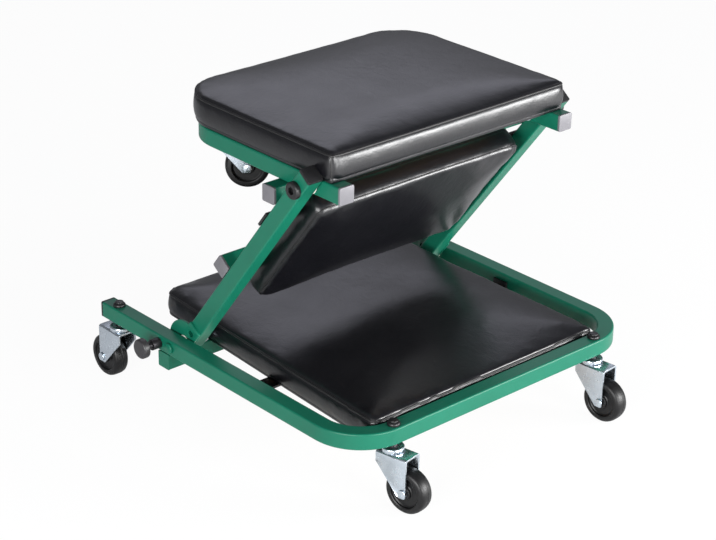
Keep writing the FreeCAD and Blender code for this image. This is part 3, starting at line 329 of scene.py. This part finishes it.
# The wheel: crowned tread with a mould line, stepped web and a hub boss, turned about its axle.
WHEEL = ((3.2, -10.0), (7.2, -10.0), (8.0, -9.2), (8.4, -7.0), (9.4, -6.4), (16.6, -6.4), (17.8, -7.2),
         (18.4, -9.0), (19.4, -9.6), (22.4, -9.5), (24.4, -8.6), (25.7, -7.0), (26.3, -4.6), (26.5, -1.0),
         (26.2, -0.6), (26.2, 0.6), (26.5, 1.0), (26.3, 4.6), (25.7, 7.0), (24.4, 8.6), (22.4, 9.5),
         (19.4, 9.6), (18.4, 9.0), (17.8, 7.2), (16.6, 6.4), (9.4, 6.4), (8.4, 7.0), (8.0, 9.2),
         (7.2, 10.0), (3.2, 10.0), (3.2, -10.0))
wheel = turned("wheel_pattern", WHEEL, segments=72)
for caster in CASTERS:
    roll = joint_of[caster + "_roll"]
    piece = linked(caster + "_wheel_moulded", wheel.data.copy())
    piece.data.transform(along(roll["axis"], roll["pos_m"]))
    settled(piece, angle=28)
    stands_for(piece, caster + "_wheel")
bpy.data.objects.remove(wheel)


# ---------------------------------------------------------------- pads

LEAN = math.radians(52.7)                    # the arms' lean from level
PAD_SLOPE = math.atan(8 / 310)               # the base pad falls 8 mm in 310 toward the front
BASE_PAD_FRONT = (197 * MM, 0, 72 * MM)      # the foot of the base pad's front edge
SEAM_INSET = -0.6                            # mm: the seam stands 0.6 outside the outline
HEM_INSET = 3.0                              # mm: from here the margin lies flat under the board
CORNER_SEAM_ROUND = 8                        # mm: corners of this radius or more have no upright seam
seat_place = Matrix.Translation(joint_of["seat_fold"]["pos_m"])
middle_place = Matrix.Translation(joint_of["middle_fold"]["pos_m"]) @ Matrix.Rotation(-LEAN, 4, "Y")
base_place = Matrix.Translation(BASE_PAD_FRONT) @ Matrix.Rotation(PAD_SLOPE, 4, "Y")


def bend_of(radius, inset):
    """A corner's radius on a line drawn this far inside the outline."""
    return max(radius - inset, radius / 3)


def pad_outline(ends, inset, share=1.0, step_mm=6.0):
    """Points round a pad, in mm: ends are (x, half width, corner radius) of its two ends."""
    (low_x, low_half, low_round), (high_x, high_half, high_round) = ends
    corners = [(low_x + inset, -low_half + inset, low_round),
               (high_x - inset, -high_half + inset, high_round),
               (high_x - inset, high_half - inset, high_round),
               (low_x + inset, low_half - inset, low_round)]
    spans = (high_x - low_x, 2 * high_half, high_x - low_x, 2 * low_half)
    middle = Vector(((low_x + high_x) / 2, 0))
    points = []
    for at, (x, y, radius) in enumerate(corners):
        here = Vector((x, y))
        before, after = Vector(corners[at - 1][:2]), Vector(corners[(at + 1) % 4][:2])
        back, ahead = (before - here).normalized(), (after - here).normalized()
        half = back.angle(ahead) / 2
        bend = bend_of(radius, inset)
        centre = here + (back + ahead).normalized() * bend / math.sin(half)
        first, last = here + back * bend / math.tan(half), here + ahead * bend / math.tan(half)
        start, sweep = first - centre, math.pi - 2 * half
        count = max(4, round(radius * sweep / step_mm * 1.5))
        for turn in range(count + 1):
            points.append(centre + Matrix.Rotation(sweep * turn / count, 2) @ start)
        radius_after = corners[(at + 1) % 4][2]
        onward = Vector(corners[(at + 2) % 4][:2])
        half_after = (here - after).angle(onward - after) / 2
        target = after + (here - after).normalized() * bend_of(radius_after, inset) / math.tan(half_after)
        steps = max(2, round((spans[at] - radius - radius_after) / step_mm))
        points += [last.lerp(target, step / steps) for step in range(1, steps)]
    return [middle + (point - middle) * share for point in points]


def skinned(name, rows, capped):
    """Closed rows of points joined by faces, with a face over the first and last row if capped."""
    made = bmesh.new()
    grid = [[made.verts.new(point) for point in row] for row in rows]
    count = len(grid[0])
    for lower, upper in zip(grid, grid[1:]):
        for at in range(count):
            after = (at + 1) % count
            made.faces.new((lower[at], lower[after], upper[after], upper[at]))
    if capped:
        made.faces.new(grid[0])
        made.faces.new(grid[-1])
    bmesh.ops.recalc_face_normals(made, faces=made.faces)
    return meshed(name, made)


def pad_shell(name, ends, foot, thick, crown, way, roll):
    """The cover before it is filled: drawn-in foot, upright band, rolled edge, crowned top panel.
    Each level is (inset, share of the plan, height)."""
    levels = [(3.0, 1.0, 0.0), (0.6, 1.0, 3.0), (-1.2, 1.0, 7.0), (-1.4, 1.0, thick * 0.5),
              (SEAM_INSET, 1.0, thick - roll), (SEAM_INSET + 0.3 * roll, 1.0, thick - 0.3 * roll),
              (SEAM_INSET + roll, 1.0, thick + 0.8)]
    levels += [(SEAM_INSET + roll, share, thick + 0.8 + (crown - 2.0) * rise)
               for share, rise in ((0.96, 0.3), (0.88, 0.58), (0.75, 0.82), (0.5, 0.96), (0.25, 1.0))]
    rows = [[Vector((p.x, p.y, way * (foot + height))) * MM for p in pad_outline(ends, inset, share)]
            for inset, share, height in levels]
    return skinned(name, rows, True)


def seam_ring(points):
    """A narrow strip along closed points, to measure distances from."""
    count = len(points)
    return BVHTree.FromPolygons([p for spot in points for p in (spot, spot + Vector((0, 0, 0.1 * MM)))],
                                [(2 * at, 2 * at + 1, (2 * at + 3) % (2 * count), (2 * at + 2) % (2 * count))
                                 for at in range(count)])


# The cover's cloth, under steady pressure from its foam.
CLOTH = {
    "vertex_group_mass": "hold", "use_pressure": True, "uniform_pressure_force": 4.0, "quality": 6,
    "mass": 0.3, "tension_stiffness": 18, "compression_stiffness": 18, "shear_stiffness": 6,
    "bending_stiffness": 0.6,
}
CLOTH_STEPS = 20
FOOT_HELD_MM = 2.5      # held fast up to this height
SEAM_HELD = 4.5 * MM    # held this far to each side of the seam
SEAM_HOLD = 0.92        # how firmly the seam is held


def filled(piece, ring, foot, way, cap_mm):
    """Cloth under pressure fills the cover over its foam, and no point moves further than the cap.
    The seam and the foot are held."""
    hold = piece.vertex_groups.new(name="hold")
    rest = [vertex.co.copy() for vertex in piece.data.vertices]
    for at, spot in enumerate(rest):
        if way * spot.z / MM - foot < FOOT_HELD_MM:
            hold.add([at], 1.0, "REPLACE")
        elif ring.find_nearest(spot)[3] < SEAM_HELD:
            hold.add([at], SEAM_HOLD, "REPLACE")
    alone(piece)
    cloth = piece.modifiers.new("filling", "CLOTH")
    for name, setting in CLOTH.items():
        setattr(cloth.settings, name, setting)
    cloth.settings.effector_weights.gravity = 0.0
    cloth.collision_settings.use_collision = False
    for step in range(1, CLOTH_STEPS + 1):
        bpy.context.scene.frame_set(step)
    bpy.ops.object.modifier_apply(modifier=cloth.name)
    bpy.context.scene.frame_set(1)
    for vertex, start in zip(piece.data.vertices, rest):
        move = vertex.co - start
        if move.length > cap_mm * MM:
            vertex.co = start + move.normalized() * cap_mm * MM
    piece.vertex_groups.clear()


def threaded(name, points, radius_mm, surface, cyclic):
    """A sewn line laid on the cover's surface through these points."""
    curve = bpy.data.curves.new(name + "_line", "CURVE")
    curve.dimensions = "3D"
    curve.bevel_depth = radius_mm * MM
    curve.bevel_resolution = 2
    line = curve.splines.new("POLY")
    line.points.add(len(points) - 1)
    for at, spot in enumerate(points):
        near, normal = surface.find_nearest(spot)[:2]
        line.points[at].co = (*(near + normal * 0.1 * MM), 1)
    line.use_cyclic_u = cyclic
    path = linked(name + "_path", curve)
    made = linked(name, bpy.data.meshes.new_from_object(path))
    bpy.data.objects.remove(path)
    made.data.materials.clear()
    made.data.materials.append(seam_vinyl)
    return made


def hem(name, ends, foot, way):
    """The cover's margin, turned in round the board's edge and flat under it."""
    line = pad_outline(ends, HEM_INSET)
    count = len(line)
    inward = []
    for at in range(count):
        run = (line[(at + 1) % count] - line[at - 1]).normalized()
        inward.append(Vector((-run.y, run.x)))
    rows = []
    for inset, height in ((2.6, 9.0), (1.5, 5.0), (1.3, 2.0), (1.9, 0.6), (HEM_INSET, 0.05),
                          (13.0, 0.05)):
        row = [point + step * (inset - HEM_INSET) for point, step in zip(line, inward)]
        rows.append([Vector((p.x, p.y, way * (foot + height))) * MM for p in row])
    piece = skinned(name, rows, False)
    modified(piece, "SOLIDIFY", thickness=0.5 * MM, offset=0)
    return piece


def bell(far, width):
    """1 at no distance, and falling off smoothly over the width."""
    return math.exp(-(far / width) ** 2)


def relieved(piece, ends, seam, ring, sharp, foot, way, groove, puckers, waves, pull):
    """The sewn cover's relief, in mm: the seam and the upright seams drawn in, puckers along the
    seam and most at the corners, broad soft waves in the face, and with pull, folds that fan out
    from the low end's right corner, at +Y. The foot's underside is lifted into the board."""
    count = len(seam)
    lengths = [0.0]
    for at in range(count):
        lengths.append(lengths[-1] + (seam[(at + 1) % count] - seam[at]).length)
    corners = [Vector((x, sign * half)) * MM for x, half, _ in ends for sign in (-1, 1)]
    piece.data.update()
    normals = [vertex.normal.copy() for vertex in piece.data.vertices]
    for vertex, outward in zip(piece.data.vertices, normals):
        _, _, index, near = ring.find_nearest(vertex.co)
        flat = Vector(vertex.co.xy)
        corner = min((flat - c).length for c in corners) / MM
        push = -groove * bell(near, 2.3 * MM)
        run = lengths[min(index, count)] / MM
        fold = math.sin(run / 7.0) + 0.6 * math.sin(run / 3.9 + 1.3) + 0.4 * math.sin(run / 17.0 + 0.4)
        push -= puckers * (0.2 + math.exp(-corner / 30.0)) * fold * bell(near / MM - 6.0, 7.0)
        for edge in sharp:
            push -= 0.7 * bell((flat - edge).length / MM, 1.6)
        height = way * vertex.co.z / MM - foot
        if height > 6:
            slide = Vector((vertex.co.x + 0.5 * vertex.co.y, 0.4 * vertex.co.y - 0.3 * vertex.co.x,
                            0.6 * vertex.co.z))
            push += waves * noise.noise(slide / (62 * MM)) + 0.35 * waves * noise.noise(slide / (27 * MM))
        if pull and height > 14:
            reach = flat - corners[1]
            away = reach.length / MM
            fan = math.atan2(reach.x, -reach.y)
            push += (pull * math.sin(fan * 11.0 + 0.6) * (1 - bell(away, 40.0))
                     * math.exp(-away / 110.0) * bell(fan - 1.15, 0.5))
        vertex.co += outward * push * MM
        if height < 2:
            vertex.co.z += way * 4.5 * MM
    piece.data.update()


def cushion(node, ends, foot, thick, crown, way, place, roll, cap_mm, puckers, waves, pull=0.0,
            groove=1.6):
    """One pad: its filled and relieved cover, the bead along its seam, upright seams at its sharp
    corners and the turned-in hem. Way is 1 where the face looks along its place's Z, -1 against."""
    piece = pad_shell(node + "_cover", ends, foot, thick, crown, way, roll)
    seam_up = thick - 0.6 * roll
    seam_height = way * (foot + seam_up)
    seam = [Vector((p.x, p.y, seam_height)) * MM for p in pad_outline(ends, SEAM_INSET, step_mm=4.0)]
    ring = seam_ring(seam)
    sharp = [Vector((x, sign * half)) * MM for x, half, turn in ends for sign in (-1, 1)
             if turn < CORNER_SEAM_ROUND]
    modified(piece, "REMESH", mode="VOXEL", voxel_size=5 * MM)
    filled(piece, ring, foot, way, cap_mm)
    modified(piece, "SMOOTH", factor=0.5, iterations=3)
    modified(piece, "SUBSURF", levels=1, render_levels=1)
    relieved(piece, ends, seam, ring, sharp, foot, way, groove, puckers, waves, pull)
    surface = BVHTree.FromObject(piece, bpy.context.evaluated_depsgraph_get())
    beads = [threaded(node + "_piping", seam, 0.5 + 0.6 * groove, surface, True)]
    for at, edge in enumerate(sharp):
        outer = edge * 1.02
        rise = [Vector((*outer, way * (foot + 2 + (seam_up - 2) * step / 8) * MM)) for step in range(9)]
        beads.append(threaded("%s_corner_seam_%d" % (node, at + 1), rise, 0.7, surface, False))
    margin = hem(node + "_hem", ends, foot, way)
    margin.data.materials.append(MATERIALS["vinyl"])
    for made in (piece, margin, *beads):
        made.data.transform(place)
        settled(made, angle=60)
    stands_for(piece, node)
    for made in (margin, *beads):
        rides_with(made, node)


# Each pad's ends are (x, half width, corner radius) in mm, in the place that it is given.
SEAT_ENDS = ((-240, 178.5, 60), (34, 178.5, 6))
BASE_ENDS = ((-391, 163, 14), (1, 176, 7))
MIDDLE_ENDS = ((101.5, 156, 12), (286.5, 156, 12))
cushion("seat_pad", SEAT_ENDS, foot=10, thick=34, crown=6, way=1, place=seat_place, roll=2.0,
        cap_mm=6, puckers=0.35, waves=0.5)
cushion("base_pad", BASE_ENDS, foot=0, thick=32, crown=6, way=1, place=base_place, roll=5.0,
        cap_mm=6, puckers=0.7, waves=1.1)
cushion("middle_pad", MIDDLE_ENDS, foot=-10, thick=30, crown=6, way=-1, place=middle_place, roll=6.0,
        cap_mm=7, puckers=0.8, waves=1.6, pull=3.6, groove=0.6)


# ---------------------------------------------------------------- stage, lights and camera

PAPER_WHITE = 0.94    # the share of plain white that the camera sees in the paper
AMBIENT = 0.26        # the strength of the light from all round


def softbox(name, spot, aim, size, power, colour="#ffffff"):
    """A rectangular light at this spot, turned to its aim."""
    lamp = bpy.data.lights.new(name, "AREA")
    lamp.shape = "RECTANGLE"
    lamp.size, lamp.size_y = size
    lamp.energy = power
    lamp.color = linear(colour)[:3]
    holder = linked(name, lamp)
    holder.location = spot
    holder.rotation_euler = (Vector(aim) - Vector(spot)).to_track_quat("-Z", "Y").to_euler()


bpy.ops.object.select_all(action="DESELECT")
bpy.ops.mesh.primitive_circle_add(vertices=96, radius=14, fill_type="NGON", location=(0, 0, -0.1 * MM))
floor = bpy.context.object
floor.name = "studio_floor"
paper = bpy.data.materials.new("white_studio_paper")
tree = empty_tree(paper)
diffuse = add(tree, "ShaderNodeBsdfDiffuse", {"Color": linear("#f2f2f2")})
white = add(tree, "ShaderNodeEmission", {"Color": (1, 1, 1, 1), "Strength": 1.0})
rays = add(tree, "ShaderNodeLightPath")
share = add(tree, "ShaderNodeMath", {0: rays.outputs["Is Camera Ray"], 1: PAPER_WHITE}, operation="MULTIPLY")
mixed = add(tree, "ShaderNodeMixShader",
            {0: share.outputs[0], 1: diffuse.outputs[0], 2: white.outputs[0]})
add(tree, "ShaderNodeOutputMaterial", {"Surface": mixed.outputs[0]})
floor.data.materials.append(paper)

world = bpy.data.worlds.new("studio")
bpy.context.scene.world = world
tree = empty_tree(world)
rays = add(tree, "ShaderNodeLightPath")
light = add(tree, "ShaderNodeBackground", {"Color": linear("#f2f4fa"), "Strength": AMBIENT})
backdrop = add(tree, "ShaderNodeBackground", {"Color": (1, 1, 1, 1), "Strength": 1.0})
mixed = add(tree, "ShaderNodeMixShader",
            {0: rays.outputs["Is Camera Ray"], 1: light.outputs[0], 2: backdrop.outputs[0]})
add(tree, "ShaderNodeOutputWorld", {"Surface": mixed.outputs[0]})

softbox("key_softbox", (1.1, -2.4, 0.7), (0, 0, 0.2), (1.6, 0.9), 92)
softbox("right_softbox", (2.5, 0.0, 0.6), (0, 0, 0.2), (1.2, 0.9), 80)
softbox("edge_softbox", (1.9, 1.5, 0.5), (0, 0, 0.2), (0.9, 0.7), 80)
softbox("back_softbox", (-1.7, 1.5, 1.75), (0, 0, 0.3), (1.8, 1.0), 9, "#efefff")

CAMERA_SPOT_MM = Vector((1616.4, -1492.9, 1189.7))
AZIMUTH, ELEVATION, ROLL = (math.radians(turn) for turn in (47.7, 25.1, 1.0))
back = Vector((math.sin(AZIMUTH) * math.cos(ELEVATION), -math.cos(AZIMUTH) * math.cos(ELEVATION),
               math.sin(ELEVATION)))
right = Vector((math.cos(AZIMUTH), math.sin(AZIMUTH), 0))
up = back.cross(right)
across = right * math.cos(ROLL) + up * math.sin(ROLL)
upward = up * math.cos(ROLL) - right * math.sin(ROLL)
camera_data = bpy.data.cameras.new("photo_view")
camera_data.lens = 103.1
camera_data.sensor_width = 36
camera = linked("photo_view", camera_data)
turn = Matrix((across, upward, back)).transposed()
camera.matrix_world = Matrix.Translation(CAMERA_SPOT_MM * MM) @ turn.to_4x4()
bpy.context.scene.camera = camera
bpy.context.scene.view_settings.view_transform = "Standard"
